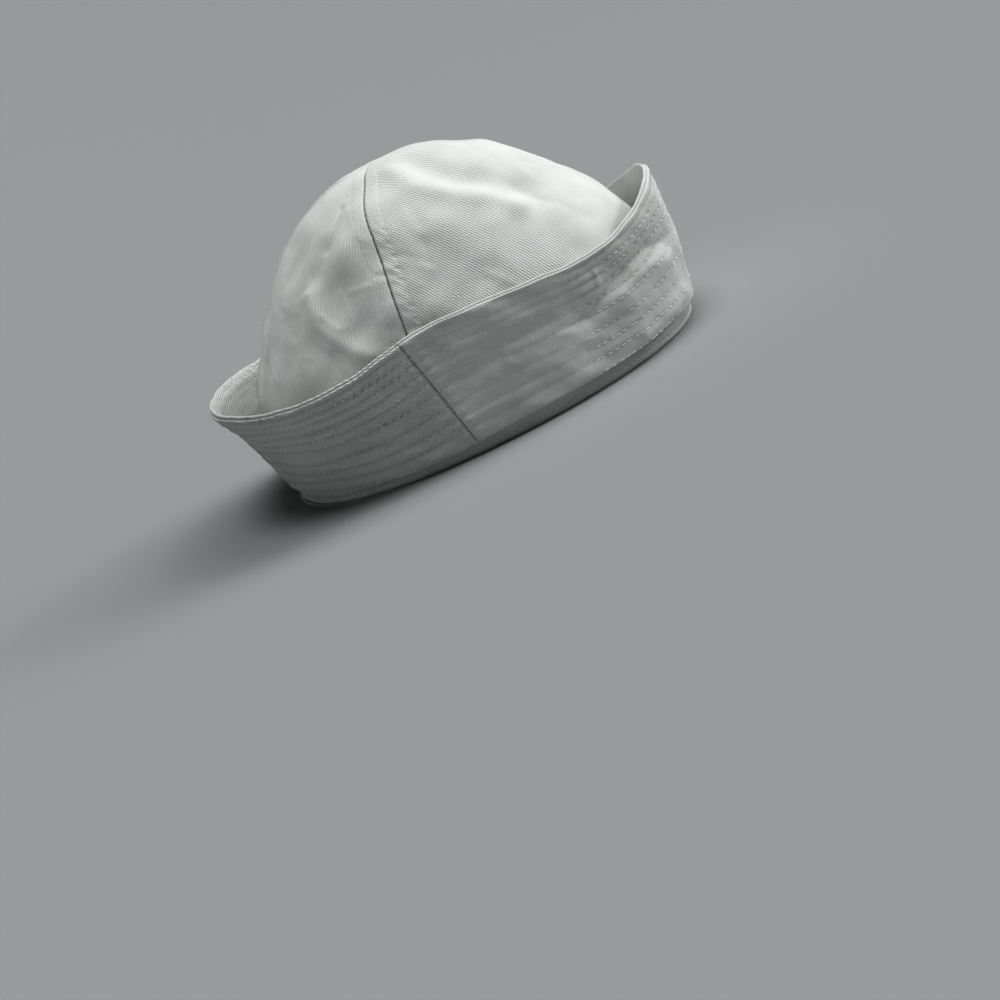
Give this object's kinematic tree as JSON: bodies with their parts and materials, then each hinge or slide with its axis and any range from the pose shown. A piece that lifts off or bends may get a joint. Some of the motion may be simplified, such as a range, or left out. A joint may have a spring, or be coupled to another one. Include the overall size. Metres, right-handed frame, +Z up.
{
  "type": "sailor cap",
  "caption": "White cotton twill sailor cap with a round gored crown and a deep stitched brim turned up all round.",
  "frame": {"origin": "under the middle of the cap, on the surface that it stands on", "axes": "the front of the cap faces -Y, the wearer's right is -X, and +Z is up"},
  "size_m": [0.178, 0.2356, 0.1258],
  "materials": {
    "crown_twill": "matte white cotton twill",
    "brim_twill": "matte white cotton twill, stitched in rows",
    "headband_twill": "matte white cotton twill, folded and topstitched"
  },
  "bodies": {
    "root": {"crown_gore_front_right": "crown_twill", "crown_gore_back_right": "crown_twill", "crown_gore_back_left": "crown_twill", "crown_gore_front_left": "crown_twill", "cuff_back": "brim_twill", "cuff_front": "brim_twill", "headband": "headband_twill"}
  },
  "joints": []
}
